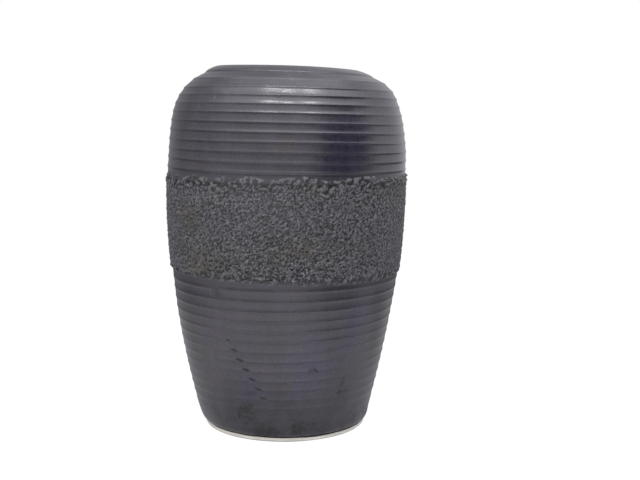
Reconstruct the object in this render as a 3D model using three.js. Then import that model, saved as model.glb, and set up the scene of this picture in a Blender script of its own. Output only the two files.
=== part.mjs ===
// A hand-thrown clay vase, 300 mm tall, built from luted sections: a bare foot ring, a floor disc, four wall
// sections, a band of coarse clay keyed round the belly, and a rounded mouth rim. Millimetres, +Z up.
// The origin is at the middle of the face that the foot ring stands on.
import * as THREE from "three";

const v = (radius, height) => new THREE.Vector2(radius, height);

// Outline of the outer wall, heel to neck
const HEEL = v(68.9, 4.5);
const HEEL_PULL = v(70.8, 6.2);
const HEEL_TOP = v(71.6, 10);
const SIDE_PULL = v(99.8, 112);
const BELLY = v(99.8, 208);
const SHOULDER_PULL = v(99.8, 283.6);
const NECK_PULL = v(85, 287.2);
const NECK = v(64, 297);

// Throwing flutes: shallow hollows between sharp ridges
const FLUTE_DEPTH = 0.7;
const FLUTE_STEPS = 2;
const LOWER_FLUTES = { from: 22.3, to: 135.2, count: 14 };
const UPPER_FLUTES = { from: 210.5, to: 262.8, count: 7 };
const SHOULDER_FLUTES = { to: 282.4, count: 3 };
const NECK_FLUTES = 2;

// Clay thickness, and the clearances that slip fills
const WALL = 7;
const FLOOR = 7.5;
const FLOOR_RADIUS = 62;
const GAP = 0.3;

// Foot ring
const FOOT_RADIUS = 67.4;
const FOOT_INNER_RADIUS = 55;
const FOOT_HEIGHT = HEEL.y;
const FOOT_CHAMFER = 0.9;

// Textured band: stands proud of the wall and is keyed into a channel in it
const BAND = { from: 132.5, to: 215, proud: 1.5, edge: 0.8 };
const CHANNEL_DEPTH = 1.5;

// Mouth
const RIM_SEAM = 294.3;
const MOUTH_RADIUS = 54.5;
const CREST_RADIUS = 58.5;
const RIM_TOP = 300;
const RIM_STEP = 0.8;
const RIM_EDGE = 0.8;
const MOUTH_EDGE = 2.4;

// Tapered tongue and groove at each luted seam
const TONGUE = { foot: 2.8, tip: 1.8, height: 2 };

// Facets round the axis, and spacing of the points along a plain wall
const SEGMENTS = 48;
const WALL_STEP = 18;
const SHOULDER_STEP = 8;

// The outline as one curve. getPoint(t) goes by arc length, from the heel at 0 to the neck at 1.
const outline = new THREE.CurvePath();
outline.add(new THREE.QuadraticBezierCurve(HEEL, HEEL_PULL, HEEL_TOP));
outline.add(new THREE.QuadraticBezierCurve(HEEL_TOP, SIDE_PULL, BELLY));
outline.add(new THREE.CubicBezierCurve(BELLY, SHOULDER_PULL, NECK_PULL, NECK));

// Where on the outline a height is reached, by halving.
function at(height) {
  let low = 0;
  let high = 1;
  for (let i = 0; i < 40; i++) {
    const middle = (low + high) / 2;
    if (outline.getPoint(middle).y < height) low = middle;
    else high = middle;
  }
  return (low + high) / 2;
}

// The outline's point at t, moved into the clay by inset.
function wallPoint(t, inset) {
  const tangent = outline.getTangent(t);
  return outline.getPoint(t).add(v(-tangent.y, tangent.x).multiplyScalar(inset));
}

// Points up the outside from t0 to t1 over count flutes, with a ridge at both ends.
function fluted(t0, t1, count) {
  const points = [];
  for (let i = 0; i <= count * FLUTE_STEPS; i++) {
    const depth = FLUTE_DEPTH * Math.abs(Math.sin((Math.PI * i) / FLUTE_STEPS));
    points.push(wallPoint(THREE.MathUtils.lerp(t0, t1, i / (count * FLUTE_STEPS)), depth));
  }
  return points;
}

// Points at a constant inset from t0 to t1, no more than spacing apart, in either direction.
function plain(t0, t1, inset, spacing = WALL_STEP) {
  const steps = Math.ceil((Math.abs(t1 - t0) * outline.getLength()) / spacing);
  return Array.from({ length: steps + 1 }, (_, i) =>
    wallPoint(THREE.MathUtils.lerp(t0, t1, i / steps), inset),
  );
}

// The inside of the wall between two heights, from the upper one down.
function inside(high, low) {
  const points = plain(at(high), at(low), WALL);
  points[0].y = high;
  points[points.length - 1].y = low;
  return points;
}

// Radius of the middle of the wall at a seam.
const seamMiddle = (height) => wallPoint(at(height), WALL / 2).x;

// The tongue on top of a section, from the outside in, made larger by clearance.
function tongue(height, middle, clearance = 0) {
  const foot = TONGUE.foot / 2 + clearance;
  const tip = TONGUE.tip / 2 + clearance;
  const top = height + TONGUE.height + clearance;
  return [v(middle + foot, height), v(middle + tip, top), v(middle - tip, top), v(middle - foot, height)];
}

// The groove for it under the section above, from the inside out.
const groove = (height, middle) => tongue(height, middle, GAP).reverse();

// Turns a closed profile, given anticlockwise with the radius to the right, round the Z axis.
function turned(name, profile, material) {
  const onAxis = profile[0].x === 0;
  const points = onAxis ? profile : [...profile, profile[0].clone()];
  const geometry = new THREE.LatheGeometry(points, SEGMENTS);
  geometry.rotateX(Math.PI / 2);
  const mesh = new THREE.Mesh(geometry, material);
  mesh.name = name;
  return mesh;
}

const glaze = new THREE.MeshStandardMaterial({ color: 0x3c3a40, roughness: 0.4, metalness: 0 });
const coarseGlaze = new THREE.MeshStandardMaterial({ color: 0x3a3936, roughness: 0.6, metalness: 0 });
const bareClay = new THREE.MeshStandardMaterial({ color: 0xcfc8b8, roughness: 0.85, metalness: 0 });

// Ring of bare clay that the vase stands on.
function footRing() {
  const c = FOOT_CHAMFER;
  return turned(
    "foot_ring",
    [
      v(FOOT_INNER_RADIUS + c, 0),
      v(FOOT_RADIUS - c, 0),
      v(FOOT_RADIUS, c),
      v(FOOT_RADIUS, FOOT_HEIGHT),
      v(FOOT_INNER_RADIUS, FOOT_HEIGHT),
      v(FOOT_INNER_RADIUS, c),
    ],
    bareClay,
  );
}

// Slab that closes the bottom, lying on the foot ring.
function floorDisc() {
  const top = FOOT_HEIGHT + FLOOR;
  return turned(
    "floor_disc",
    [v(0, FOOT_HEIGHT), v(FLOOR_RADIUS, FOOT_HEIGHT), v(FLOOR_RADIUS, top), v(0, top)],
    glaze,
  );
}

// Lower thrown section, from the heel to the band, with a cove over the floor's edge.
function lowerWall() {
  const floorTop = FOOT_HEIGHT + FLOOR;
  const coveTop = floorTop + 8;
  const seam = LOWER_FLUTES.to;
  return turned(
    "lower_wall",
    [
      ...plain(0, at(HEEL_TOP.y), 0),
      ...fluted(at(LOWER_FLUTES.from), at(seam), LOWER_FLUTES.count),
      ...tongue(seam, seamMiddle(seam)),
      ...inside(seam, coveTop),
      v(FLOOR_RADIUS + GAP, floorTop),
      v(FLOOR_RADIUS + GAP, FOOT_HEIGHT),
    ],
    glaze,
  );
}

// Plain middle section, cut back to make the channel that holds the band.
function middleWall() {
  const low = LOWER_FLUTES.to;
  const high = UPPER_FLUTES.from;
  const back = plain(at(low), at(high), CHANNEL_DEPTH);
  back[0].y = low;
  back[back.length - 1].y = high;
  return turned(
    "middle_wall",
    [
      ...back,
      ...tongue(high, seamMiddle(high)),
      ...inside(high, low),
      ...groove(low, seamMiddle(low)),
    ],
    bareClay,
  );
}

// Band of coarse clay pressed round the belly. Its two lips lap over the wall sections above and below.
function texturedBand() {
  const lipLow = LOWER_FLUTES.to + GAP;
  const lipHigh = UPPER_FLUTES.from - GAP;
  const key = GAP - CHANNEL_DEPTH;
  return turned(
    "textured_band",
    [
      wallPoint(at(BAND.from), -GAP),
      wallPoint(at(BAND.from), -BAND.edge),
      ...plain(at(BAND.from + BAND.edge), at(BAND.to - BAND.edge), -BAND.proud),
      wallPoint(at(BAND.to), -BAND.edge),
      wallPoint(at(BAND.to), -GAP),
      wallPoint(at(lipHigh), -GAP),
      ...plain(at(lipHigh), at(lipLow), -key),
      wallPoint(at(lipLow), -GAP),
    ],
    coarseGlaze,
  );
}

// Upper thrown section, from the band to the turn of the shoulder.
function upperWall() {
  const low = UPPER_FLUTES.from;
  const high = UPPER_FLUTES.to;
  return turned(
    "upper_wall",
    [
      ...fluted(at(low), at(high), UPPER_FLUTES.count),
      ...tongue(high, seamMiddle(high)),
      ...inside(high, low),
      ...groove(low, seamMiddle(low)),
    ],
    glaze,
  );
}

// The tongue under the rim lies midway between the mouth and the neck.
const neckRadius = outline.getPoint(at(RIM_SEAM)).x;
const rimMiddle = (MOUTH_RADIUS + neckRadius) / 2;

// Shoulder section, drawn in to the mouth. Its flutes are wider over the neck.
function shoulder() {
  const low = UPPER_FLUTES.to;
  const turn = at(SHOULDER_FLUTES.to);
  const neck = at(RIM_SEAM);
  const back = plain(neck, at(low), WALL, SHOULDER_STEP);
  back[back.length - 1].y = low;
  return turned(
    "shoulder",
    [
      ...fluted(at(low), turn, SHOULDER_FLUTES.count),
      ...fluted(turn, neck, NECK_FLUTES).slice(1),
      ...tongue(RIM_SEAM, rimMiddle),
      v(MOUTH_RADIUS, RIM_SEAM),
      v(MOUTH_RADIUS + MOUTH_EDGE / 2, RIM_SEAM - MOUTH_EDGE),
      ...back,
      ...groove(low, seamMiddle(low)),
    ],
    glaze,
  );
}

// A quarter of an ellipse about a centre, anticlockwise from the angle start, in radians.
function quarter(centre, halfWidth, halfHeight, start, steps) {
  return Array.from({ length: steps + 1 }, (_, i) => {
    const angle = start + (Math.PI / 2) * (i / steps);
    return v(centre.x + halfWidth * Math.cos(angle), centre.y + halfHeight * Math.sin(angle));
  });
}

// Rounded rim: a broad slope outside the crest, and a tighter turn into the mouth.
function mouthRim() {
  const outer = neckRadius - RIM_STEP;
  const edge = v(CREST_RADIUS, RIM_SEAM + RIM_EDGE);
  const bend = v(CREST_RADIUS, RIM_SEAM + MOUTH_EDGE);
  return turned(
    "mouth_rim",
    [
      ...quarter(edge, outer - CREST_RADIUS, RIM_TOP - edge.y, 0, 5),
      ...quarter(bend, CREST_RADIUS - MOUTH_RADIUS, RIM_TOP - bend.y, Math.PI / 2, 3).slice(1),
      v(MOUTH_RADIUS, RIM_SEAM),
      ...groove(RIM_SEAM, rimMiddle),
      v(outer, RIM_SEAM),
    ],
    glaze,
  );
}

const vase = new THREE.Group();
vase.add(
  footRing(),
  floorDisc(),
  lowerWall(),
  middleWall(),
  texturedBand(),
  upperWall(),
  shoulder(),
  mouthRim(),
);

export default vase;
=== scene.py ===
"""A hand-thrown clay vase: ribbed walls under a dark satin glaze, a crumpled clay band, a bare foot.

Metres, +Z up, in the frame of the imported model. Every CAD node is replaced by a finer piece of the same
section, which is turned from a profile and then given the unevenness of hand work.
"""

import math

import bpy
import numpy as np
from mathutils import Matrix, Vector, noise


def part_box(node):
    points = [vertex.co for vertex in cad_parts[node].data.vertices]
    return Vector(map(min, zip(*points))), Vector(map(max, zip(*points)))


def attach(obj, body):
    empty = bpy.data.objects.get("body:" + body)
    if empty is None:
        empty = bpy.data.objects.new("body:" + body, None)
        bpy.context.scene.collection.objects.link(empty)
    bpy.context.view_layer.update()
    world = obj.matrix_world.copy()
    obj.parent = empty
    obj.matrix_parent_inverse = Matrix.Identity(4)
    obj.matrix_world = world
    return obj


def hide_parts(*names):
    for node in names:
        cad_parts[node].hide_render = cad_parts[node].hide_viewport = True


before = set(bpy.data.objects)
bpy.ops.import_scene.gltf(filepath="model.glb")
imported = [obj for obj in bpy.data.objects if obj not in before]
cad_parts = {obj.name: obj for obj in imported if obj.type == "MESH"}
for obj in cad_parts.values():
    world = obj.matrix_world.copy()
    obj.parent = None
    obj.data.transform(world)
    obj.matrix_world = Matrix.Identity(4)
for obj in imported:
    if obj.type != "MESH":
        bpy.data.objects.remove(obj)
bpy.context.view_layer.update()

MM = 0.001

# ---------------------------------------------------------------- sizes from the frame
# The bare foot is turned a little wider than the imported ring.
FOOT_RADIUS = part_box("foot_ring")[1].x + 0.8 * MM
FOOT_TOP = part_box("foot_ring")[1].z
FLOOR_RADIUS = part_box("floor_disc")[1].x
FLOOR_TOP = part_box("floor_disc")[1].z
LOW_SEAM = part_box("middle_wall")[0].z
HIGH_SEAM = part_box("upper_wall")[0].z
SHOULDER_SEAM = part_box("shoulder")[0].z
RIM_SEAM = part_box("mouth_rim")[0].z
RIM_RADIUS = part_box("mouth_rim")[1].x
RIM_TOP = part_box("mouth_rim")[1].z
BAND_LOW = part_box("textured_band")[0].z
BAND_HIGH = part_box("textured_band")[1].z

# ---------------------------------------------------------------- the pot's own sizes
# Outline of the outer wall from heel to neck, as (radius, height)
HEEL = (69.4 * MM, FOOT_TOP)
HEEL_PULL = (71.4 * MM, 6.2 * MM)
HEEL_TOP = (72.2 * MM, 10 * MM)
SIDE_PULL = (99.9 * MM, 112 * MM)
BELLY = (100.2 * MM, 208 * MM)
SHOULDER_PULL = (100.2 * MM, 282.4 * MM)
NECK_PULL = (86 * MM, 287.2 * MM)
NECK = (65.4 * MM, 297 * MM)

# Clay thickness, and the clearances that slip fills
WALL = 7 * MM
GAP = 0.3 * MM
CHANNEL_DEPTH = 1.5 * MM
TONGUE = {"foot": 2.8 * MM, "tip": 1.8 * MM, "height": 2 * MM}
FOOT_INNER_RADIUS = 55 * MM
MOUTH_RADIUS = 54.5 * MM
CREST_RADIUS = 58.5 * MM

# Throwing flutes: where they start or end, how many there are, and how deep they are
LOWER_FLUTES = {"from": 22.3 * MM, "count": 14, "depth": 0.34 * MM}
UPPER_FLUTES = {"count": 7, "depth": 0.55 * MM}
SHOULDER_FLUTES = {"to": 282.4 * MM, "count": 3}
NECK_FLUTES = 2
# Where the rows of points lie across one flute, from its lower ridge at 0 to its upper ridge at 1
FLUTE_ROWS = (0, 0.04, 0.09, 0.15, 0.22, 0.31, 0.42, 0.56, 0.68, 0.77, 0.84, 0.9, 0.95)
# The share of a flute that curls out above its lower ridge, the share that breaks back under its upper one,
# how sharply each does it, and over how many of the table's steps the ridges are rounded
CURL, CURL_POWER = 0.54, 2.5
LEDGE, LEDGE_POWER = 0.25, 1.6
SOFTNESS = 13
# How far the shoulder's last rows dip into the groove under the rim
RIM_DIP = [0.15 * MM, 0.4 * MM, 0.65 * MM, 0.85 * MM, 0.85 * MM]

# How the rings' centres drift to the right, as (height in mm, drift in mm), and how the rings tilt, as
# (height in mm, degrees, positive when lower on the right)
DRIFT = [
    (0, 1.3), (6, 1.1), (15, 0.4), (60, 0.4), (100, 0.6), (128, 1.3), (170, 1.5), (212, 2.0), (232, 2.9),
    (270, 2.7), (286, 4.0), (293, 4.4), (296, 4.0), (300, 2.3),
]
TILT = [(0, 0), (30, -0.55), (75, -0.7), (120, -0.2), (205, -0.2), (222, 0.85), (285, 0.95), (300, 1.6)]

COLUMNS = 480
LOWER_COLUMNS = 384
PLAIN_COLUMNS = 288
BAND_COLUMNS = 820
BAND_ROWS = 104
# How thin the band runs out at its edges
BAND_FILM = 0.04 * MM
TURN = 2 * math.pi
# Keeps one noise from repeating another
SHIFT = Vector((7.3, 3.1, 1.7))
# noise_vector takes its offsets from this seed, so every run gives the same band
noise.seed_set(7)

# A slanting row of gouges in the lower wall, each one lower and further round. Azimuths are in degrees, 0 in
# front and positive to the right.
NICKS = {
    "count": 7, "azimuth": -29.7, "turn": 2.93, "height": 85.9 * MM, "drop": 7.9 * MM,
    "wall_radius": 82 * MM, "half_width": 3.2 * MM, "half_height": 1.5 * MM, "slant": 0.5, "depth": 1.1 * MM,
    "dark_half_width": 3.0 * MM,
}


# ---------------------------------------------------------------- the outline, by arc length
def bezier(points, t):
    """A Bezier curve of any degree at the parameters t."""
    layer = [np.outer(np.ones_like(t), p) for p in points]
    while len(layer) > 1:
        layer = [a + (b - a) * t[:, None] for a, b in zip(layer, layer[1:])]
    return layer[0]


def dense_outline():
    t = np.linspace(0, 1, 600)
    runs = [
        bezier([HEEL, HEEL_PULL, HEEL_TOP], t),
        bezier([HEEL_TOP, SIDE_PULL, BELLY], t),
        bezier([BELLY, SHOULDER_PULL, NECK_PULL, NECK], t),
    ]
    points = np.vstack([runs[0], runs[1][1:], runs[2][1:]])
    length = np.concatenate([[0], np.cumsum(np.hypot(*np.diff(points, axis=0).T))])
    tangent = np.gradient(points, length, axis=0)
    tangent /= np.hypot(*tangent.T)[:, None]
    return points, length, tangent


POINTS, LENGTH, TANGENT = dense_outline()


def arc_at(height):
    """Arc length at which the outline reaches a height."""
    return np.interp(height, POINTS[:, 1], LENGTH)


def wall(s, inset=0.0):
    """Radius and height of the outline at arc lengths s, moved into the clay by inset."""
    radius = np.interp(s, LENGTH, POINTS[:, 0]) - inset * np.interp(s, LENGTH, TANGENT[:, 1])
    height = np.interp(s, LENGTH, POINTS[:, 1]) + inset * np.interp(s, LENGTH, TANGENT[:, 0])
    return radius, height


def wall_points(s, inset=0.0):
    return np.column_stack(wall(s, inset))


def angles(columns):
    return (np.arange(columns) * TURN / columns)[None, :]


# ---------------------------------------------------------------- hand work
def ripple(theta, s, waves, seed):
    """A smooth uneven function round the pot, about -1 to 1, that closes on itself. It drifts with s."""
    rng = np.random.default_rng(seed)
    total = 0.0
    for k in range(1, waves + 1):
        phase = rng.uniform(0, TURN)
        drift = rng.uniform(-1, 1) * 14
        weight = rng.uniform(0.4, 1) / math.sqrt(k)
        total = total + weight * np.sin(k * theta + phase + drift * s)
    return total / math.sqrt(waves)


def ridge_places():
    """Arc lengths of the ridges between the flutes, below and above the band."""
    low = np.linspace(arc_at(LOWER_FLUTES["from"]), arc_at(LOW_SEAM), LOWER_FLUTES["count"] + 1)
    turn = arc_at(SHOULDER_FLUTES["to"])
    high = np.concatenate([
        np.linspace(arc_at(HIGH_SEAM), arc_at(SHOULDER_SEAM), UPPER_FLUTES["count"] + 1),
        np.linspace(arc_at(SHOULDER_SEAM), turn, SHOULDER_FLUTES["count"] + 1)[1:],
        np.linspace(turn, arc_at(RIM_SEAM), NECK_FLUTES + 1)[1:],
    ])
    return low, high


LOW_RIDGES, HIGH_RIDGES = ridge_places()
LOW_SEED, HIGH_SEED = 11, 23
RIM_MIDDLE = (MOUTH_RADIUS + wall(HIGH_RIDGES[-1])[0]) / 2


def flute_table():
    """Depth across one flute, from its lower ridge at 0 to its upper ridge at 1. It curls out slowly above
    the lower ridge and breaks back under the upper one, and the ridges are rounded."""
    u = np.linspace(0, 1, 201)
    curl = 1 - np.clip(1 - u / CURL, 0, 1) ** CURL_POWER
    ledge = 1 - np.clip((u - 1 + LEDGE) / LEDGE, 0, 1) ** LEDGE_POWER
    shape = np.minimum(curl, ledge)
    kernel = np.hanning(2 * SOFTNESS + 1)
    rounded = np.concatenate([shape[-SOFTNESS - 1:-1], shape, shape[1:SOFTNESS + 1]])
    rounded = np.convolve(rounded, kernel / kernel.sum(), mode="valid")
    return u, (rounded - rounded.min()) / (rounded.max() - rounded.min())


FLUTE_TABLE = flute_table()


def flute_depth(index, theta, depth, seed):
    """Depth of the flutes where index counts them up the pot."""
    rng = np.random.default_rng(seed)
    each = rng.uniform(0.85, 1.15, 40)
    number = np.floor(index).astype(int)
    strength = each[number] * (1 + 0.12 * ripple(theta, index * 0.3, 3, seed + 2))
    return depth * strength * np.interp(index - number, *FLUTE_TABLE)


def wander(index, theta, first, last, seed):
    """How far, in flutes, the ridges rise and fall round the pot. The first and last flute stay level."""
    fade = np.clip(np.minimum(index - first, last - index) - 0.7, 0, 1)
    return 0.06 * fade * ripple(theta, index * 0.25, 4, seed)


def smooth_table(table, scale):
    """Heights and values of a short table, with its corners rounded."""
    heights = np.linspace(-0.02, 0.33, 701)
    values = np.interp(heights, [h * MM for h, _ in table], [v * scale for _, v in table])
    reach = 12
    kernel = np.hanning(2 * reach + 1)
    kernel /= kernel.sum()
    return heights, np.convolve(np.pad(values, reach, mode="edge"), kernel, mode="valid")


DRIFT_TABLE = smooth_table(DRIFT, MM)
TILT_TABLE = smooth_table(TILT, math.radians(1))


def settle(x, y, z):
    """Moves points as hand work has: ring by ring they drift and tilt a little. The foot stays flat."""
    weight = np.clip(z / (12 * MM), 0, 1)
    side_tilt = np.interp(z, *TILT_TABLE)
    front_tilt = 0.004 * np.sin(z * 21)
    return x + np.interp(z, *DRIFT_TABLE), y, z + weight * (front_tilt * y - side_tilt * x)


def uneven(theta, height):
    """Small changes of radius round the pot that every section shares. They fade out at the foot."""
    weight = np.clip(height / (20 * MM), 0, 1)
    return weight * 0.11 * MM * ripple(theta, height * 2, 3, 5)


# ---------------------------------------------------------------- meshes
def strip_faces(count, columns, closed):
    """Quads between each row of points and the next, and from the last row to the first if closed."""
    here = np.arange(columns)
    there = (here + 1) % columns
    quads = []
    for row in range(count if closed else count - 1):
        below, above = row * columns, ((row + 1) % count) * columns
        quads.append(np.column_stack([below + here, below + there, above + there, above + here]))
    return np.vstack(quads).tolist()


def cap_faces(count, columns, low, high):
    """Triangles from the first row to the point low on the axis, and from the last row to the point high."""
    here = range(columns)
    top = (count - 1) * columns
    first = [(low, (a + 1) % columns, a) for a in here]
    last = [(high, top + a, top + (a + 1) % columns) for a in here]
    return first + last


def grid_piece(name, radius, height, materials, face_slot=None, marks=None, sharp=70):
    """A closed turned piece from arrays (profile points, columns) of radius and height. The profile is
    a loop, or it runs from axis to axis where its ends have no radius. marks are named values for each
    point, which materials read."""
    rows, columns = radius.shape
    theta = angles(columns)
    radius = radius + np.where(radius > 5 * MM, uneven(theta, height), 0)
    x, y, z = settle(radius * np.cos(theta), radius * np.sin(theta), height)
    solid = radius[0].max() == 0
    first, last = (1, rows - 1) if solid else (0, rows)
    count = last - first
    points = np.stack([x, y, z], -1)
    vertices = points[first:last].reshape(-1, 3)
    strips = count - 1 if solid else count
    faces = strip_faces(count, columns, not solid)
    row_slots = [0] * strips if face_slot is None else list(face_slot[:strips])
    slots = np.repeat(row_slots, columns)
    if solid:
        faces += cap_faces(count, columns, len(vertices), len(vertices) + 1)
        vertices = np.vstack([vertices, points[0, :1], points[-1, :1]])
        slots = np.concatenate([slots, np.repeat([row_slots[0], row_slots[-1]], columns)])
    mesh = bpy.data.meshes.new(name)
    mesh.from_pydata(vertices.tolist(), [], faces)
    for material in materials:
        mesh.materials.append(material)
    mesh.polygons.foreach_set("material_index", slots.astype(np.int32))
    for mark, grid in (marks or {}).items():
        values = np.zeros(len(vertices), np.float32)
        values[:count * columns] = grid[first:last].reshape(-1)
        mesh.attributes.new(mark, "FLOAT", "POINT").data.foreach_set("value", values)
    mesh.validate()
    mesh.shade_smooth()
    mesh.set_sharp_from_angle(angle=math.radians(sharp))
    piece = bpy.data.objects.new(name, mesh)
    bpy.context.scene.collection.objects.link(piece)
    return piece


def spread(profile, columns):
    """Radius and height arrays for a plain profile of points (radius, height)."""
    profile = np.asarray(profile, float)
    return np.repeat(profile[:, :1], columns, 1), np.repeat(profile[:, 1:], columns, 1)


def place(piece, node):
    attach(piece, "root")
    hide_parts(node)


def tongue(height, middle, clearance=0.0):
    foot = TONGUE["foot"] / 2 + clearance
    tip = TONGUE["tip"] / 2 + clearance
    top = height + TONGUE["height"] + clearance
    return [(middle + foot, height), (middle + tip, top), (middle - tip, top), (middle - foot, height)]


def groove(height, middle):
    return tongue(height, middle, GAP)[::-1]


def seam_middle(height):
    return wall(arc_at(height), WALL / 2)[0]


def inner_wall(high, low, rows):
    """The inside of the wall between two heights, from the upper one down, with its ends on those heights."""
    points = wall_points(np.linspace(arc_at(high), arc_at(low), rows), WALL)
    points[0, 1], points[-1, 1] = high, low
    return points


def finger_rings(theta, height):
    """Depth of the spiral that fingers leave inside."""
    pitch = 13 * MM
    turn = height / pitch + theta / TURN
    fade = np.clip((height - FLOOR_TOP) / (12 * MM), 0, 1) * np.clip((RIM_SEAM - height) / (14 * MM), 0, 1)
    return 0.5 * MM * fade * np.abs(np.sin(math.pi * turn)) ** 1.3


def fluted_wall(theta, first, last, ridges, depth, seed):
    """Radius, height and nearness to a ridge over the flutes from ridge first to ridge last."""
    rows = [i + u for i in range(first, last) for u in FLUTE_ROWS] + [last]
    index = np.array(rows, float)[:, None]
    shown = np.minimum(index, last - 1e-9)
    place_in_flutes = index + wander(index, theta, first, last, seed)
    s = np.interp(place_in_flutes, np.arange(len(ridges)), ridges)
    radius, height = wall(s, flute_depth(shown, theta, depth, seed))
    radius[-1], height[-1] = wall(s[-1])
    near = np.exp(-(((index - np.round(index)) / 0.05) ** 2))
    return radius, height, np.repeat(near, theta.shape[1], 1)


def wall_piece(name, node, work, rest, inside_rows, theta, materials, face_slot=None):
    """A section of the wall. work is its outside, as radius, height and ridge, and rest is the profile of
    the other faces, of which inside_rows are marked by fingers."""
    radius, height, ridge = work
    rest_radius, rest_height = spread(rest, theta.shape[1])
    first, last = inside_rows
    rest_radius[first:last] += finger_rings(theta, rest_height[first:last])
    wear = np.vstack([ridge, np.zeros_like(rest_radius)])
    radius = np.vstack([radius, rest_radius])
    height = np.vstack([height, rest_height])
    piece = grid_piece(name, radius, height, materials, face_slot, {"ridge": wear})
    place(piece, node)
    return piece


# ---------------------------------------------------------------- materials
class Recipe:
    """The nodes of one material or of the studio's surround, with a short call for each usual kind."""

    def __init__(self, tree):
        self.nodes, self.links = tree.nodes, tree.links

    def wire(self, value, socket):
        """Sets a socket to a number or a colour, or links another node's result to it."""
        if isinstance(value, (int, float)):
            socket.default_value = value
        elif isinstance(value, tuple):
            socket.default_value = (*value, 1)
        else:
            self.links.new(value, socket)

    def place(self):
        return self.nodes.new("ShaderNodeTexCoord").outputs["Object"]

    def noise(self, vector, scale, detail=3, roughness=0.5, distortion=0, stretch=None):
        """Cloudy noise, scale in cells per metre. stretch scales the three axes apart."""
        if stretch:
            mapping = self.nodes.new("ShaderNodeMapping")
            mapping.inputs["Scale"].default_value = stretch
            self.links.new(vector, mapping.inputs["Vector"])
            vector = mapping.outputs["Vector"]
        texture = self.nodes.new("ShaderNodeTexNoise")
        self.links.new(vector, texture.inputs["Vector"])
        settings = {"Scale": scale, "Detail": detail, "Roughness": roughness, "Distortion": distortion}
        for name, value in settings.items():
            texture.inputs[name].default_value = value
        return texture.outputs["Fac"]

    def remap(self, value, low, high, to_low, to_high):
        node = self.nodes.new("ShaderNodeMapRange")
        for name, number in (("From Min", low), ("From Max", high), ("To Min", to_low), ("To Max", to_high)):
            node.inputs[name].default_value = number
        self.links.new(value, node.inputs["Value"])
        return node.outputs["Result"]

    def math(self, operation, *values):
        node = self.nodes.new("ShaderNodeMath")
        node.operation = operation
        for value, socket in zip(values, node.inputs):
            self.wire(value, socket)
        return node.outputs[0]

    def mix(self, factor, first, second, mode="MIX"):
        node = self.nodes.new("ShaderNodeMix")
        node.data_type = "RGBA"
        node.blend_type = mode
        self.wire(factor, node.inputs["Factor"])
        colours = [i for i in node.inputs if i.type == "RGBA"]
        self.wire(first, colours[0])
        self.wire(second, colours[1])
        return [o for o in node.outputs if o.type == "RGBA"][0]

    def shade(self, colour, value):
        """A colour made darker or lighter by a value."""
        grey = self.nodes.new("ShaderNodeCombineColor")
        for name in ("Red", "Green", "Blue"):
            self.links.new(value, grey.inputs[name])
        return self.mix(1.0, colour, grey.outputs["Color"], "MULTIPLY")

    def mark(self, name):
        node = self.nodes.new("ShaderNodeAttribute")
        node.attribute_name = name
        return node.outputs["Fac"]

    def bump(self, height, strength, distance):
        node = self.nodes.new("ShaderNodeBump")
        node.inputs["Distance"].default_value = distance
        self.wire(strength, node.inputs["Strength"])
        self.links.new(height, node.inputs["Height"])
        return node.outputs["Normal"]

    def round_the_pot(self, vector):
        """Azimuth in radians, 0 in front and positive to the right, and height."""
        split = self.nodes.new("ShaderNodeSeparateXYZ")
        self.links.new(vector, split.inputs[0])
        back = self.math("MULTIPLY", split.outputs["Y"], -1.0)
        return self.math("ARCTAN2", split.outputs["X"], back), split.outputs["Z"]

    def spot(self, across, along):
        """1 at the middle of an ellipse, falling to 0 at its edge, from two distances in half widths."""
        squares = self.math("ADD", self.math("POWER", across, 2.0), self.math("POWER", along, 2.0))
        return self.math("MAXIMUM", self.math("SUBTRACT", 1.0, squares), 0.0)


def new_material(name):
    material = bpy.data.materials.new(name)
    material.use_nodes = True
    recipe = Recipe(material.node_tree)
    return material, recipe, material.node_tree.nodes["Principled BSDF"].inputs, recipe.place()


SMEARS = [
    # azimuth, height in mm, half width and half height in mm, strength
    (36, 40.5, 6.5, 3.0, 1.3),
    (35, 50, 3.0, 6.0, 0.6),
    (16, 61, 5.0, 7.0, 0.9),
    (-20, 41, 7.0, 3.5, 0.7),
    (-34, 124, 6.0, 8.0, 0.5),
    (-24, 24, 10.0, 9.0, 2.2),
    (-11, 9, 16.0, 8.0, 2.0),
    (10, 13, 16.0, 6.0, 1.5),
]
GLAZE_IOR = 1.6
CHARCOAL, PALE_CHARCOAL = (0.0210, 0.0193, 0.0255), (0.0300, 0.0280, 0.0345)
VIOLET, UMBER = (0.024, 0.022, 0.046), (0.031, 0.0285, 0.022)
# The dark bluish colour below is a painted reflection, not a colour of the glaze: it paints the dark, bluish
# look at the upper right.
INDIGO_PAINTED_REFLECTION = (0.019, 0.018, 0.031)
WORN_RIDGE = (0.050, 0.045, 0.046)
SOOT = (0.003, 0.0025, 0.003)
SCRATCHED = (0.09, 0.086, 0.083)
TINTS = [
    # azimuth, height in mm, half width and half height in mm, colour
    (14, 66, 22, 30, VIOLET),
    (38, 95, 12, 30, VIOLET),
    (-20, 45, 12, 14, VIOLET),
    (-58, 80, 16, 40, UMBER),
    (2, 240, 9, 8, UMBER),
    # Painted reflection: the dark bluish patch at the upper right, not a tint of the glaze.
    (28, 238, 20, 34, INDIGO_PAINTED_REFLECTION),
    (66, 90, 12, 40, UMBER),
]
# Azimuth and height in mm of short pale scratches
SCRATCHES = [(-36.6, 274), (-57, 256)]
SCRATCH_HALF_WIDTH, SCRATCH_HALF_HEIGHT = 0.6, 2.8
# Radius in mm at which widths across the wall are turned into angles
SPOT_RADIUS = 80


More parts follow.
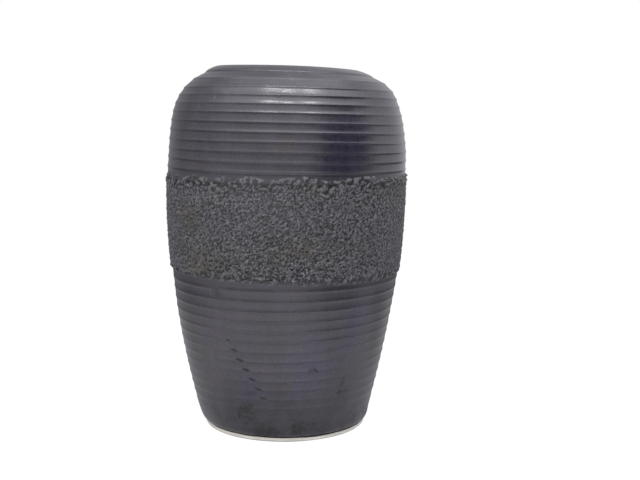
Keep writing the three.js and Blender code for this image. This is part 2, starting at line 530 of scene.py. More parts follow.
def nicks(recipe, azimuth, height, warp):
    """A slanting row of short dark nicks, one under each ridge."""
    steps = recipe.math("DIVIDE", recipe.math("SUBTRACT", NICKS["height"], height), NICKS["drop"])
    number = recipe.math("ROUND", steps)
    along = recipe.math("SUBTRACT", steps, number)
    along = recipe.math("MULTIPLY", along, NICKS["drop"] / NICKS["half_height"])
    turn = recipe.math("MULTIPLY", number, math.radians(NICKS["turn"]))
    centre = recipe.math("ADD", turn, math.radians(NICKS["azimuth"]))
    across = recipe.math("SUBTRACT", azimuth, centre)
    across = recipe.math("MULTIPLY", across, NICKS["wall_radius"] / NICKS["dark_half_width"])
    slanted = recipe.math("SUBTRACT", along, recipe.math("MULTIPLY", across, NICKS["slant"]))
    middle = (NICKS["count"] - 1) / 2
    kept = recipe.math("COMPARE", number, middle, middle + 0.4)
    fade = recipe.remap(recipe.math("ABSOLUTE", recipe.math("SUBTRACT", number, middle)), 0, middle, 1, 0.35)
    spot = recipe.spot(recipe.math("ADD", across, warp), slanted)
    return recipe.math("MULTIPLY", recipe.math("MULTIPLY", spot, kept), fade)


def ellipse(recipe, azimuth, height, middle, half_width, half_height, warp):
    """A soft spot on the wall, sizes in mm, with its edge moved by warp."""
    centre, level = middle
    across = recipe.math("SUBTRACT", azimuth, math.radians(centre))
    across = recipe.math("ADD", recipe.math("MULTIPLY", across, SPOT_RADIUS / half_width), warp)
    along = recipe.math("MULTIPLY", recipe.math("SUBTRACT", height, level * MM), 1 / (half_height * MM))
    return recipe.spot(across, recipe.math("ADD", along, warp))


def tinted(recipe, base, azimuth, height, warp):
    """The glaze with its violet and umber patches, and a dark bluish patch at the upper right that is a
    painted reflection of the dark surround there.
    """
    for turn, level, half_width, half_height, tint in TINTS:
        spot = ellipse(recipe, azimuth, height, (turn, level), half_width, half_height, warp)
        base = recipe.mix(recipe.math("MULTIPLY", spot, 0.7), base, tint)
    return base


def smeared(recipe, azimuth, height, blotches, warp, place_on_pot):
    """How dark the smears and nicks are, 0 to 1."""
    crumbs = recipe.noise(place_on_pot, 210, 4, 0.65, 0.5)
    low = recipe.remap(height, 8 * MM, 46 * MM, 1, 0)
    dirt = recipe.math("MULTIPLY", low, recipe.remap(blotches, 0.45, 0.66, 0, 0.6))
    for turn, level, half_width, half_height, strength in SMEARS:
        spot = ellipse(recipe, azimuth, height, (turn, level), half_width, half_height, warp)
        broken = recipe.math("MULTIPLY", spot, recipe.remap(crumbs, 0.38, 0.62, 0.1, strength * 1.3))
        dirt = recipe.math("MAXIMUM", dirt, broken)
    dark_nicks = recipe.math("MULTIPLY", nicks(recipe, azimuth, height, warp), 3)
    return recipe.math("MINIMUM", recipe.math("MAXIMUM", dirt, dark_nicks), 1.0)


def satin_glaze():
    """Dark satin glaze: cloudy charcoal with a faint violet cast, broken paler and warmer on the ridges,
    smeared darker near the foot, with a fine orange-peel surface."""
    material, recipe, inputs, place_on_pot = new_material("satin_glaze")
    azimuth, height = recipe.round_the_pot(place_on_pot)
    clouds = recipe.noise(place_on_pot, 24, 4, 0.55, 0.6)
    streaks = recipe.noise(place_on_pot, 70, 3, 0.6, 0.2, stretch=(1, 1, 0.16))
    specks = recipe.noise(place_on_pot, 480, 2)
    blotches = recipe.noise(place_on_pot, 95, 4, 0.65, 0.8)
    warp = recipe.remap(blotches, 0.3, 0.7, -0.55, 0.55)
    base = recipe.mix(recipe.remap(clouds, 0.36, 0.64, 0, 1), CHARCOAL, PALE_CHARCOAL)
    base = tinted(recipe, base, azimuth, height, warp)
    streaky = recipe.remap(streaks, 0.3, 0.7, 0.82, 1.18)
    speckled = recipe.remap(specks, 0.3, 0.7, 0.75, 1.25)
    base = recipe.shade(base, recipe.math("MULTIPLY", streaky, speckled))
    thin = recipe.math("MULTIPLY", recipe.mark("ridge"), recipe.remap(blotches, 0.35, 0.65, 0, 0.3))
    base = recipe.mix(thin, base, WORN_RIDGE)
    dirt = smeared(recipe, azimuth, height, blotches, warp, place_on_pot)
    base = recipe.mix(dirt, base, SOOT)
    for middle in SCRATCHES:
        scratch = ellipse(recipe, azimuth, height, middle, SCRATCH_HALF_WIDTH, SCRATCH_HALF_HEIGHT, warp)
        base = recipe.mix(recipe.math("MULTIPLY", scratch, 0.6), base, SCRATCHED)
    recipe.wire(base, inputs["Base Color"])
    satin = recipe.remap(clouds, 0.3, 0.7, 0.2, 0.27)
    recipe.wire(recipe.math("ADD", satin, recipe.math("MULTIPLY", dirt, 0.35)), inputs["Roughness"])
    inputs["IOR"].default_value = GLAZE_IOR
    recipe.wire(recipe.bump(recipe.noise(place_on_pot, 520, 2), 0.12, 0.0006), inputs["Normal"])
    return material


# Azimuth in degrees, height, half width and half height in mm
OLIVE_PATCHES = [
    (-53, 178, 18, 22), (10, 162, 10, 9), (13, 206, 11, 6), (62, 200, 16, 12), (-36, 149, 26, 13),
]
OLIVE = (0.110, 0.105, 0.075)
GRIT, PALE_GRIT = (0.040, 0.0385, 0.0425), (0.225, 0.219, 0.233)
# Near-black for pits and low places: glaze pooled there, and painted shade where the clay would shade itself.
PIT_POOL_AND_SHADE = (0.004, 0.004, 0.004)
# Midway between the two charcoals, for the band's thin edges, which lie on the smooth glaze
GLAZE_MIDDLE = (0.0255, 0.0236, 0.030)


def crumpled_glaze():
    """The same glaze over coarse crumpled clay: darker in the pits and low places, with glaze pooled there
    and painted shade, olive where it ran thin.
    """
    material, recipe, inputs, place_on_pot = new_material("crumpled_glaze")
    clouds = recipe.noise(place_on_pot, 26, 3, 0.5, 0.5)
    grain = recipe.noise(place_on_pot, 950, 3, 0.6, 0.4)
    crinkle = recipe.noise(place_on_pot, 1150, 3, 0.55, 0.8)
    coarse = recipe.mark("coarse")
    base = recipe.mix(recipe.remap(grain, 0.38, 0.62, 0, 1), GRIT, PALE_GRIT)
    olive = recipe.remap(clouds, 0.58, 0.70, 0, 0.4)
    azimuth, height = recipe.round_the_pot(place_on_pot)
    warp = recipe.remap(clouds, 0.3, 0.7, -0.4, 0.4)
    for turn, level, half_width, half_height in OLIVE_PATCHES:
        spot = ellipse(recipe, azimuth, height, (turn, level), half_width, half_height, warp)
        olive = recipe.math("MAXIMUM", olive, recipe.math("MULTIPLY", spot, 0.7))
    base = recipe.mix(olive, base, OLIVE)
    base = recipe.mix(coarse, GLAZE_MIDDLE, base)
    # Pooled glaze and painted shade: pits and low places darkened almost to black.
    base = recipe.mix(recipe.math("MULTIPLY", recipe.mark("pit"), 0.95), base, PIT_POOL_AND_SHADE)
    recipe.wire(base, inputs["Base Color"])
    recipe.wire(recipe.remap(grain, 0.3, 0.7, 0.29, 0.42), inputs["Roughness"])
    inputs["IOR"].default_value = GLAZE_IOR
    recipe.wire(recipe.bump(crinkle, coarse, 0.0023), inputs["Normal"])
    return material


CREAM, PALE_CREAM = (0.63, 0.61, 0.53), (0.74, 0.72, 0.64)
GROG, TURNING_LINE = (0.33, 0.27, 0.2), (0.42, 0.40, 0.34)
# The dusty grey below also paints a contact shadow at the foot's lowest edge, and the near-black stain also
# paints the shade of the undercut under the heel.
DUST_AND_CONTACT_SHADE, GLAZE_STAIN_AND_UNDERCUT_SHADE = (0.10, 0.09, 0.075), (0.012, 0.009, 0.007)


def bare_clay():
    """Pale unglazed clay with fine grog and turning lines, darker at its lowest edge with dust and a painted
    contact shadow, and stained brown where the glaze ends, darkened there too with painted shade of the
    undercut."""
    material, recipe, inputs, place_on_pot = new_material("bare_clay")
    height = recipe.round_the_pot(place_on_pot)[1]
    clouds = recipe.noise(place_on_pot, 40, 4, 0.6)
    grog = recipe.noise(place_on_pot, 1300, 2)
    lines = recipe.noise(place_on_pot, 1, 3, stretch=(20, 20, 2600))
    base = recipe.mix(recipe.remap(clouds, 0.35, 0.65, 0, 1), CREAM, PALE_CREAM)
    base = recipe.mix(recipe.remap(grog, 0.62, 0.72, 0, 0.5), base, GROG)
    base = recipe.mix(recipe.remap(lines, 0.52, 0.75, 0, 0.35), base, TURNING_LINE)
    uneven_height = recipe.math("ADD", height, recipe.remap(clouds, 0.3, 0.7, -0.35 * MM, 0.35 * MM))
    # Darker at the lowest edge: dust, and a painted contact shadow.
    base = recipe.mix(recipe.remap(uneven_height, 0.5 * MM, 1.0 * MM, 0.75, 0), base, DUST_AND_CONTACT_SHADE)
    # Near-black where the glaze ends: a brown glaze stain, and painted shade of the undercut under the heel.
    base = recipe.mix(recipe.remap(uneven_height, 2.9 * MM, 3.3 * MM, 0, 0.97), base, GLAZE_STAIN_AND_UNDERCUT_SHADE)
    recipe.wire(base, inputs["Base Color"])
    inputs["Roughness"].default_value = 0.85
    recipe.wire(recipe.bump(grog, 0.3, 0.0003), inputs["Normal"])
    return material


GLAZE = satin_glaze()
CRUMPLED = crumpled_glaze()
CLAY = bare_clay()


# ---------------------------------------------------------------- pieces
def arc(centre, half_width, half_height, start, end, steps):
    """Points of an elliptical arc, angles in degrees, anticlockwise from +radius."""
    a = np.radians(np.linspace(start, end, steps + 1))
    return np.column_stack([centre[0] + half_width * np.cos(a), centre[1] + half_height * np.sin(a)])


def foot_ring():
    """Bare ring with rounded edges, an undercut below the glaze and a turning line."""
    edge = 1.1 * MM
    inner_edge = 0.9 * MM
    low = FOOT_TOP - 0.8 * MM
    side = np.linspace(edge, low, 14)
    line = 0.12 * MM * np.exp(-(((side - 1.9 * MM) / (0.25 * MM)) ** 2))
    profile = np.vstack([
        [(FOOT_INNER_RADIUS + inner_edge, 0)],
        arc((FOOT_RADIUS - edge, edge), edge, edge, -90, 0, 6),
        np.column_stack([FOOT_RADIUS - line, side])[1:],
        [(FOOT_RADIUS - 0.5 * MM, low + 0.25 * MM), (FOOT_RADIUS - 0.8 * MM, FOOT_TOP)],
        [(FOOT_INNER_RADIUS, FOOT_TOP), (FOOT_INNER_RADIUS, 2 * MM)],
        arc((FOOT_INNER_RADIUS + inner_edge, inner_edge), inner_edge, inner_edge, 180, 270, 5)[:-1],
    ])
    radius, height = spread(profile, PLAIN_COLUMNS)
    piece = grid_piece("bare_foot", radius, height, [CLAY])
    place(piece, "foot_ring")


def floor():
    """Floor slab: trimmed rings below, a thumbed spiral under the glaze above."""
    rings = 70
    trim_pitch, spiral_pitch = 4.2 * MM, 8 * MM
    theta = angles(PLAIN_COLUMNS)
    edge = 0.4 * MM
    under = np.linspace(0, FLOOR_RADIUS - edge, rings)
    over = under[::-1]
    trimmed = under < FOOT_INNER_RADIUS - 2 * MM
    under_height = FOOT_TOP + 0.16 * MM * np.abs(np.sin(under * math.pi / trim_pitch)) * trimmed
    dome = 0.6 * MM * np.exp(-((over / (9 * MM)) ** 2))
    profile = np.vstack([
        np.column_stack([under, under_height]),
        [(FLOOR_RADIUS, FOOT_TOP + edge), (FLOOR_RADIUS, FLOOR_TOP - edge)],
        np.column_stack([over, FLOOR_TOP + dome]),
    ])
    radius, height = spread(profile, PLAIN_COLUMNS)
    turn = over[:, None] / spiral_pitch + theta / TURN
    fade = np.clip(over / (6 * MM), 0, 1) * np.clip((FLOOR_RADIUS - over) / (6 * MM), 0, 1)
    height[-rings:] -= 0.35 * MM * fade[:, None] * np.abs(np.sin(math.pi * turn))
    slots = [1 if row < rings else 0 for row in range(len(profile))]
    piece = grid_piece("thrown_floor", radius, height, [GLAZE, CLAY], slots)
    place(piece, "floor_disc")


def gouges(theta, height):
    """Depth of the nicks in the lower wall."""
    depth = 0
    for k in range(NICKS["count"]):
        azimuth = math.radians(NICKS["azimuth"] + NICKS["turn"] * k - 90)
        turned = (theta - azimuth + math.pi) % TURN - math.pi
        across = turned * NICKS["wall_radius"] / NICKS["half_width"]
        along = (NICKS["height"] - NICKS["drop"] * k - height) / NICKS["half_height"]
        spot = 1 - across ** 2 - (along - NICKS["slant"] * across) ** 2
        fade = 1 - 0.15 * abs(k - (NICKS["count"] - 1) / 2)
        depth = np.maximum(depth, NICKS["depth"] * np.sqrt(np.clip(spot, 0, 1)) * fade)
    return depth


def lower_wall():
    """From the glaze's rolled edge at the heel to the seam under the band."""
    theta = angles(LOWER_COLUMNS)
    flutes, depth = LOWER_FLUTES["count"], LOWER_FLUTES["depth"]
    radius, height, ridge = fluted_wall(theta, 0, flutes, LOW_RIDGES, depth, LOW_SEED)
    radius = radius - gouges(theta, height)
    heel = wall_points(np.linspace(0.9 * MM, LOW_RIDGES[0], 22)[:-1])
    heel_radius, heel_height = spread(heel, LOWER_COLUMNS)
    work = (
        np.vstack([heel_radius, radius]),
        np.vstack([heel_height, height]),
        np.vstack([np.zeros_like(heel_radius), ridge]),
    )
    inside = inner_wall(LOW_SEAM, 20 * MM, 40)
    cove_pull = (64.4 * MM, 14.5 * MM)
    cove = bezier([tuple(inside[-1]), cove_pull, (FLOOR_RADIUS + GAP, FLOOR_TOP)], np.linspace(0, 1, 9))
    rest = np.vstack([
        tongue(LOW_SEAM, seam_middle(LOW_SEAM)),
        inside,
        cove[1:],
        [(FLOOR_RADIUS + GAP, FOOT_TOP), (HEEL[0] - 1.6 * MM, FOOT_TOP)],
        arc((HEEL[0] - 0.9 * MM, FOOT_TOP + 0.8 * MM), 1.15 * MM, 0.8 * MM, -90, -20, 5),
    ])
    wall_piece("lower_body", "lower_wall", work, rest, (4, 4 + len(inside)), theta, [GLAZE])


def middle_wall():
    """Plain wall behind the band: bare clay outside, glaze inside."""
    theta = angles(PLAIN_COLUMNS)
    outside = wall_points(np.linspace(arc_at(LOW_SEAM), arc_at(HIGH_SEAM), 24), CHANNEL_DEPTH)
    outside[0, 1], outside[-1, 1] = LOW_SEAM, HIGH_SEAM
    inside = inner_wall(HIGH_SEAM, LOW_SEAM, 50)
    rest = np.vstack([
        tongue(HIGH_SEAM, seam_middle(HIGH_SEAM)),
        inside,
        groove(LOW_SEAM, seam_middle(LOW_SEAM)),
    ])
    radius, height = spread(outside, PLAIN_COLUMNS)
    first = len(outside) + 4
    last = first + len(inside) - 1
    slots = [0 if first <= row < last else 1 for row in range(len(outside) + len(rest))]
    work = (radius, height, np.zeros_like(radius))
    rows = (4, 4 + len(inside))
    wall_piece("middle_body", "middle_wall", work, rest, rows, theta, [GLAZE, CLAY], slots)


def upper_wall():
    """Ribbed wall from the band to the turn of the shoulder."""
    theta = angles(COLUMNS)
    work = fluted_wall(theta, 0, UPPER_FLUTES["count"], HIGH_RIDGES, UPPER_FLUTES["depth"], HIGH_SEED)
    inside = inner_wall(SHOULDER_SEAM, HIGH_SEAM, 36)
    rest = np.vstack([
        tongue(SHOULDER_SEAM, seam_middle(SHOULDER_SEAM)),
        inside,
        groove(HIGH_SEAM, seam_middle(HIGH_SEAM)),
    ])
    wall_piece("upper_body", "upper_wall", work, rest, (4, 4 + len(inside)), theta, [GLAZE])


def shoulder():
    """Ribbed shoulder drawn in to the mouth. It dips into the groove under the rim."""
    theta = angles(COLUMNS)
    first_flute, last_flute = UPPER_FLUTES["count"], len(HIGH_RIDGES) - 1
    work = fluted_wall(theta, first_flute, last_flute, HIGH_RIDGES, UPPER_FLUTES["depth"], HIGH_SEED)
    work[0][-len(RIM_DIP):] -= np.array(RIM_DIP)[:, None]
    inside = wall_points(np.linspace(arc_at(RIM_SEAM), arc_at(SHOULDER_SEAM), 36), WALL)
    inside[-1, 1] = SHOULDER_SEAM
    lip_pull = (MOUTH_RADIUS + 0.2 * MM, 291.6 * MM)
    lip = bezier([(MOUTH_RADIUS, RIM_SEAM), lip_pull, tuple(inside[0])], np.linspace(0, 1, 10))
    rest = np.vstack([
        tongue(RIM_SEAM, RIM_MIDDLE),
        lip[:-1],
        inside,
        groove(SHOULDER_SEAM, seam_middle(SHOULDER_SEAM)),
    ])
    first = 4 + len(lip) - 1
    rows = (first, first + len(inside))
    wall_piece("shoulder_body", "shoulder", work, rest, rows, theta, [GLAZE])


def mouth_rim():
    """Low rounded rim: a groove under it, a broad slope to the crest and a tight turn into the mouth."""
    foot = 0.1 * MM
    slope = bezier([
        (RIM_RADIUS + 0.7 * MM, RIM_SEAM + foot),
        (RIM_RADIUS + 0.6 * MM, RIM_SEAM + 1.8 * MM),
        (CREST_RADIUS + 2.0 * MM, RIM_TOP - 0.1 * MM),
        (CREST_RADIUS, RIM_TOP),
    ], np.linspace(0, 1, 26))
    turn_in = bezier([
        (CREST_RADIUS, RIM_TOP),
        (CREST_RADIUS - 2.4 * MM, RIM_TOP),
        (MOUTH_RADIUS, RIM_TOP - 1.4 * MM),
        (MOUTH_RADIUS, RIM_TOP - 3.6 * MM),
    ], np.linspace(0, 1, 12))[1:]
    profile = np.vstack([
        [(RIM_RADIUS - 0.3 * MM, RIM_SEAM)],
        slope,
        turn_in,
        [(MOUTH_RADIUS, RIM_SEAM)],
        groove(RIM_SEAM, RIM_MIDDLE),
    ])
    radius, height = spread(profile, COLUMNS)
    fullness = np.clip((height - RIM_SEAM) / (RIM_TOP - RIM_SEAM), 0, 1)
    height -= 0.3 * MM * fullness * (1 + ripple(angles(COLUMNS), 0, 4, 41))
    piece = grid_piece("rolled_rim", radius, height, [GLAZE])
    place(piece, "mouth_rim")


def crumple(points, edge):
    """Height of the crumpled clay at points, about -1 to 1, and how deep in a pit each one is, 0 to 1.
    Where edge is near 1 the lumps are coarser and there are pits."""
    height = np.empty(len(points))
    pits = np.empty(len(points))
    for i, (point, rough) in enumerate(zip(points, edge)):
        v = Vector(point)
        swirl = noise.noise_vector(v * 260) * 0.0009
        worm = noise.noise((v + swirl) * 760)
        grain = noise.noise(v * 1050 + SHIFT)
        crease = 1 - 3.2 * abs(noise.noise((v - swirl) * 330 + SHIFT))
        lump = noise.noise(v * 300 - SHIFT)
        pit = noise.noise(v * 360 + SHIFT * 3) - 0.33 + 0.27 * rough
        pits[i] = min(1.0, max(0.0, pit) * 7)
        height[i] = 1.15 * worm + 0.4 * grain + 0.2 * crease + rough * (1.6 * lump + 0.4 * crease)
    return height, pits


def wall_surface(s, theta):
    """How far outside the plain outline the glazed walls next to the band lie, at arc lengths s."""
    low = np.interp(s, LOW_RIDGES, np.arange(len(LOW_RIDGES)), right=len(LOW_RIDGES) - 1.001)
    high = np.interp(s, HIGH_RIDGES, np.arange(len(HIGH_RIDGES)))
    low_depth = flute_depth(low, theta, LOWER_FLUTES["depth"], LOW_SEED)
    high_depth = flute_depth(high, theta, UPPER_FLUTES["depth"], HIGH_SEED)
    return -np.where(s < LOW_RIDGES[-1], low_depth, np.where(s > HIGH_RIDGES[0], high_depth, 0))


def ragged(theta, seed, size):
    """An uneven line round the pot, for the band's edges."""
    line = []
    for turn in theta[0]:
        point = Vector((math.cos(turn), math.sin(turn), 0)) * 0.1
        line.append(noise.noise(point * 90 + SHIFT * seed) + 0.6 * noise.noise(point * 230 + SHIFT * seed))
    return size * np.array(line)


def band_edges(theta):
    """Arc lengths of the band's two edges round the pot. Each slants a little from front to back."""
    low = arc_at(BAND_LOW) + 0.25 * MM - 2.3 * MM * np.cos(theta) + ragged(theta, 1, 0.7 * MM)
    high = arc_at(BAND_HIGH) - 1.9 * MM + 0.95 * MM * np.cos(theta) + ragged(theta, 2, 3 * MM)
    return low, high


def band_body(from_low, from_high, length):
    """How far the band stands out before its lumps: most near its foot, and nothing at its edges."""
    swell = (1.1 - 0.95 * from_low / length) * MM
    foot = 1 - np.exp(-((from_low / (2.6 * MM)) ** 1.5))
    head = 1 - np.exp(-((from_high / (3.2 * MM)) ** 1.4))
    return swell * foot * head


def nearness(distance, middle, reach):
    """1 at a distance of middle, falling smoothly to 0."""
    return np.exp(-(((distance - middle) / reach) ** 2))


def band_face(s, theta):
    """How far the band's face lies outside the plain outline, how coarse it is and how deep in a hollow,
    which the material darkens with pooled glaze and painted shade.
    """
    low_edge, high_edge = band_edges(theta)
    from_low = np.maximum(s - low_edge, 0)
    from_high = np.maximum(high_edge - s, 0)
    radius, height = wall(s)
    places = np.stack(np.broadcast_arrays(radius * np.cos(theta), radius * np.sin(theta), height), -1)
    edge = np.maximum(nearness(from_low, 2 * MM, 3.2 * MM), nearness(from_high, 4 * MM, 4.5 * MM))
    lumps, pits = crumple(places.reshape(-1, 3), edge.reshape(-1))
    lumps = lumps.reshape(edge.shape)
    pits = pits.reshape(edge.shape) * (0.2 + 0.8 * edge)
    body = band_body(from_low, from_high, s[-1] - s[0])
    rough = body - 0.12 * MM + (1.0 + 0.05 * edge) * MM * lumps - 2.0 * MM * pits
    inside_edges = np.clip(np.minimum(from_low / (0.5 * MM), from_high / (1.6 * MM)), 0, 1)
    # The lumps and pits go down to the bed: the glaze at the two lips, and into the channel between them.
    bare = wall_surface(s, theta)
    over_channel = np.clip(np.minimum(s - LOW_RIDGES[-1], HIGH_RIDGES[0] - s) / (1.5 * MM), 0, 1)
    bed = bare - 0.8 * MM * over_channel
    out = bed + BAND_FILM + np.maximum(rough - bed, 0) * inside_edges + (bare - bed) * (1 - inside_edges)
    coarse = np.clip((out - bare - BAND_FILM) / (0.25 * MM), 0, 1)
    # Pits and low places, which the material darkens with pooled glaze and painted shade.
    hollow = inside_edges * np.clip(np.maximum(pits, 0.5 - 2.2 * lumps), 0, 1)
    return out, coarse, hollow


def textured_band():
    """Coarse band keyed into the wall. It thins out to nothing over the glaze above and below, where its
    lumps make a ragged edge."""
    theta = angles(BAND_COLUMNS)
    s = np.linspace(arc_at(BAND_LOW) - 2.6 * MM, arc_at(BAND_HIGH) + 0.3 * MM, BAND_ROWS)[:, None]
    out, coarse, hollow = band_face(s, theta)
    lip_high = np.linspace(s[-1, 0], arc_at(HIGH_SEAM - GAP), 6)[:, None]
    lip_low = np.linspace(arc_at(LOW_SEAM + GAP), s[0, 0], 5)[:, None]
    key = np.linspace(lip_high[-1, 0], lip_low[0, 0], 12)[:, None]
    loop = [
        wall(s, -out),
        wall(lip_high, -wall_surface(lip_high, theta) - BAND_FILM / 2),
        wall(np.repeat(key, BAND_COLUMNS, 1), CHANNEL_DEPTH - GAP),
        wall(lip_low, -wall_surface(lip_low, theta) - BAND_FILM / 2),
    ]
    radius = np.vstack([part[0] for part in loop])
    height = np.vstack([part[1] for part in loop])
    back = np.zeros_like(radius[BAND_ROWS:])
    marks = {"coarse": np.vstack([coarse, back]), "pit": np.vstack([hollow, back])}
    piece = grid_piece("crumpled_band", radius, height, [CRUMPLED], marks=marks, sharp=80)
    place(piece, "textured_band")


foot_ring()
floor()
lower_wall()
middle_wall()
textured_band()
upper_wall()
shoulder()
mouth_rim()


# ---------------------------------------------------------------- studio
STUDIO_RADIUS = 1.2
# Brightness of the surround in front and behind, by the sine of the elevation.
FRONT_LEVELS = [
    (-1, 0.4), (-0.12, 0.5), (0, 0.93), (0.3, 1.09), (0.56, 1.7), (0.7, 2.6), (0.82, 3.5), (0.9, 3.7),
    (1, 1.9),
]
BACK_LEVELS = [(-1, 0.3), (-0.12, 0.35), (0, 0.4), (0.35, 0.4), (0.7, 0.45), (0.9, 0.65), (1, 1.6)]
# Brightness of the floor's glow as the pot sees it, by distance from the pot in metres; the dimmer values
# close to the pot are a painted shadow of the pot.
FLOOR_LEVELS = [(0, 0.8), (0.08, 1.0), (0.2, 1.42), (0.35, 1.42), (0.5, 1.0), (0.75, 0.5), (1.2, 0.4)]
# Dim places: a painted shadow on the glowing floor at the front right, and a dark patch in the surround
# there. The fill is a brighter one.
FLOOR_SHADOW = {"place": (0.42, -0.36, 0), "from": 0.06, "to": 0.34, "level": 0.1}
RIGHT_FILL = {"azimuth": 115, "elevation": 15, "from": 0.2, "to": 0.95, "level": 0.46}
DARK_SIDE = {"azimuth": 56, "elevation": 6, "from": 0.80, "to": 0.92, "level": 0.02}
# Name, azimuth, elevation, distance, side and power of each lamp
SOFTBOXES = [
    ("top_light", 0, 64, 1.0, 0.11, 1.1),
    ("left_light", -25, 59, 1.1, 0.17, 1.8),
    ("right_light", 33, 58, 1.1, 0.17, 1.8),
]
CAMERA = {"place": (0, -847.5 * MM, 262.1 * MM), "yaw": 2.064, "pitch": 7.162, "roll": 0.4, "lens": 56.25}


def graded(recipe, value, levels):
    """A grey that follows a short table of values and levels."""
    low, high = levels[0][0], levels[-1][0]
    ramp = recipe.nodes.new("ShaderNodeValToRGB")
    recipe.wire(recipe.remap(value, low, high, 0, 1), ramp.inputs["Fac"])
    elements = ramp.color_ramp.elements
    for place_on_ramp, level in levels:
        fraction = (place_on_ramp - low) / (high - low)
        if fraction in (0, 1):
            element = elements[0] if fraction == 0 else elements[-1]
        else:
            element = elements.new(fraction)
        element.color = (level, level * 0.985, level * 1.05, 1)
    return ramp.outputs["Color"]


def floor_felt(tree, recipe):
    """The floor as the pot sees it: a grey glow that lights the pot though it is no lamp, graded by distance
    with a painted shadow close to the pot, dimmer behind, and with a painted shadow at the front right.
    """
    distance = tree.nodes.new("ShaderNodeVectorMath")
    distance.operation = "LENGTH"
    recipe.wire(recipe.place(), distance.inputs[0])
    split = tree.nodes.new("ShaderNodeSeparateXYZ")
    recipe.wire(recipe.place(), split.inputs[0])
    facing = recipe.remap(split.outputs["Y"], -0.25, 0.08, 1, 0.35)
    away = tree.nodes.new("ShaderNodeVectorMath")
    away.operation = "DISTANCE"
    away.inputs[1].default_value = FLOOR_SHADOW["place"]
    recipe.wire(recipe.place(), away.inputs[0])
    near, far = FLOOR_SHADOW["from"], FLOOR_SHADOW["to"]
    shadow = recipe.remap(away.outputs["Value"], near, far, FLOOR_SHADOW["level"], 1)
    grey = graded(recipe, distance.outputs["Value"], FLOOR_LEVELS)
    # The floor glows for the pot: an emission with its shadows painted in.
    felt = tree.nodes.new("ShaderNodeEmission")
    recipe.wire(recipe.shade(grey, recipe.math("MULTIPLY", facing, shadow)), felt.inputs["Color"])
    return felt.outputs[0]


def floor_seen(tree, recipe):
    """The floor as the camera sees it: white, with a faint contact shadow."""
    faint = tree.nodes.new("ShaderNodeBsdfDiffuse")
    faint.inputs["Color"].default_value = (0.06, 0.06, 0.06, 1)
    glow = tree.nodes.new("ShaderNodeEmission")
    glow.inputs["Strength"].default_value = 0.96
    seen = tree.nodes.new("ShaderNodeAddShader")
    recipe.wire(faint.outputs[0], seen.inputs[0])
    recipe.wire(glow.outputs[0], seen.inputs[1])
    return seen.outputs[0]


def felt_or_seen(tree, recipe, felt, seen, output):
    """One look for the light that reaches the pot and another for the camera."""
    mixer = tree.nodes.new("ShaderNodeMixShader")
    recipe.wire(tree.nodes.new("ShaderNodeLightPath").outputs["Is Camera Ray"], mixer.inputs["Fac"])
    recipe.wire(felt, mixer.inputs[1])
    recipe.wire(seen, mixer.inputs[2])
    recipe.wire(mixer.outputs[0], tree.nodes.new(output).inputs["Surface"])


def studio_floor():
    """A wide pale disc."""
    mesh = bpy.data.meshes.new("studio_floor")
    steps = 96
    corners = [
        (STUDIO_RADIUS * math.cos(TURN * k / steps), STUDIO_RADIUS * math.sin(TURN * k / steps), 0)
        for k in range(steps)
    ]
    mesh.from_pydata(corners, [], [list(range(steps))])
    material = bpy.data.materials.new("pale_floor")
    material.use_nodes = True
    tree = material.node_tree
    tree.nodes.clear()
    recipe = Recipe(tree)
    felt, seen = floor_felt(tree, recipe), floor_seen(tree, recipe)
    felt_or_seen(tree, recipe, felt, seen, "ShaderNodeOutputMaterial")
    mesh.materials.append(material)
    floor_object = bpy.data.objects.new("studio_floor", mesh)
    bpy.context.scene.collection.objects.link(floor_object)


def direction_to(azimuth, elevation):
    """Unit vector from the pot, angles in degrees. Azimuth 0 is in front, and positive is to the right."""
    a, e = math.radians(azimuth), math.radians(elevation)
    return Vector((math.cos(e) * math.sin(a), -math.cos(e) * math.cos(a), math.sin(e)))


def patch(recipe, direction, where, outside):
    """A soft round patch of the surround: outside its edge one level, at its middle another."""
    dot = recipe.nodes.new("ShaderNodeVectorMath")
    dot.operation = "DOT_PRODUCT"
    dot.inputs[1].default_value = direction_to(where["azimuth"], where["elevation"])
    recipe.wire(direction, dot.inputs[0])
    return recipe.remap(dot.outputs["Value"], where["from"], where["to"], outside, where["level"])


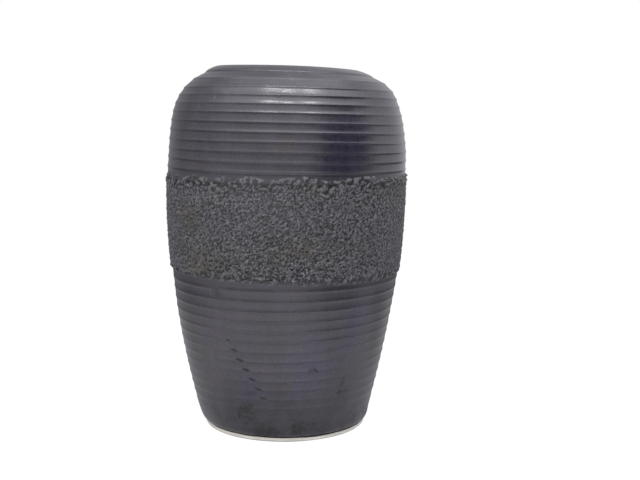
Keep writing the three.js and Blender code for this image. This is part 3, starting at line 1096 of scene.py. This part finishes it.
def studio_surround():
    """White to the camera. To the pot it is brightest high in front, dim behind, and dark front right."""
    world = bpy.data.worlds.new("studio")
    bpy.context.scene.world = world
    world.use_nodes = True
    tree = world.node_tree
    tree.nodes.clear()
    recipe = Recipe(tree)
    direction = tree.nodes.new("ShaderNodeTexCoord").outputs["Generated"]
    split = tree.nodes.new("ShaderNodeSeparateXYZ")
    recipe.wire(direction, split.inputs[0])
    rise = split.outputs["Z"]
    facing = recipe.remap(split.outputs["Y"], -0.5, 0.5, 1, 0)
    felt_colour = recipe.mix(
        facing,
        graded(recipe, rise, BACK_LEVELS),
        graded(recipe, rise, FRONT_LEVELS),
    )
    fill = patch(recipe, direction, RIGHT_FILL, 0)
    felt_colour = recipe.mix(1.0, felt_colour, recipe.shade((1.0, 0.985, 1.05), fill), "ADD")
    shadow = patch(recipe, direction, DARK_SIDE, 1)
    felt = tree.nodes.new("ShaderNodeBackground")
    bluish = recipe.mix(shadow, (0.0, 0.0, 0.02), (1.0, 1.0, 1.0))
    recipe.wire(recipe.mix(1.0, felt_colour, bluish, "MULTIPLY"), felt.inputs["Color"])
    seen = tree.nodes.new("ShaderNodeBackground")
    seen.inputs["Color"].default_value = (1, 1, 1, 1)
    felt_or_seen(tree, recipe, felt.outputs[0], seen.outputs[0], "ShaderNodeOutputWorld")


def softbox(name, azimuth, elevation, distance, size, power):
    """A square lamp aimed at the shoulder."""
    lamp = bpy.data.lights.new(name, "AREA")
    lamp.shape = "SQUARE"
    lamp.size = size
    lamp.energy = power
    holder = bpy.data.objects.new(name, lamp)
    direction = direction_to(azimuth, elevation)
    holder.location = Vector((0, 0, SHOULDER_SEAM)) + direction * distance
    holder.rotation_euler = direction.to_track_quat("Z", "Y").to_euler()
    holder.visible_camera = False
    bpy.context.scene.collection.objects.link(holder)


def studio_camera():
    """At the photograph's place and angle."""
    data = bpy.data.cameras.new("camera")
    data.sensor_width = 36
    data.lens = CAMERA["lens"]
    holder = bpy.data.objects.new("camera", data)
    yaw, pitch, roll = [math.radians(CAMERA[name]) for name in ("yaw", "pitch", "roll")]
    forward = Vector((math.sin(yaw) * math.cos(pitch), math.cos(yaw) * math.cos(pitch), -math.sin(pitch)))
    right = forward.cross(Vector((0, 0, 1))).normalized()
    up = right.cross(forward)
    turned_right = math.cos(roll) * right + math.sin(roll) * up
    turned_up = -math.sin(roll) * right + math.cos(roll) * up
    turn = Matrix((turned_right, turned_up, -forward)).transposed()
    holder.matrix_world = Matrix.Translation(CAMERA["place"]) @ turn.to_4x4()
    bpy.context.scene.collection.objects.link(holder)
    bpy.context.scene.camera = holder


studio_floor()
studio_surround()
for lamp in SOFTBOXES:
    softbox(*lamp)
studio_camera()
bpy.context.scene.view_settings.view_transform = "Standard"
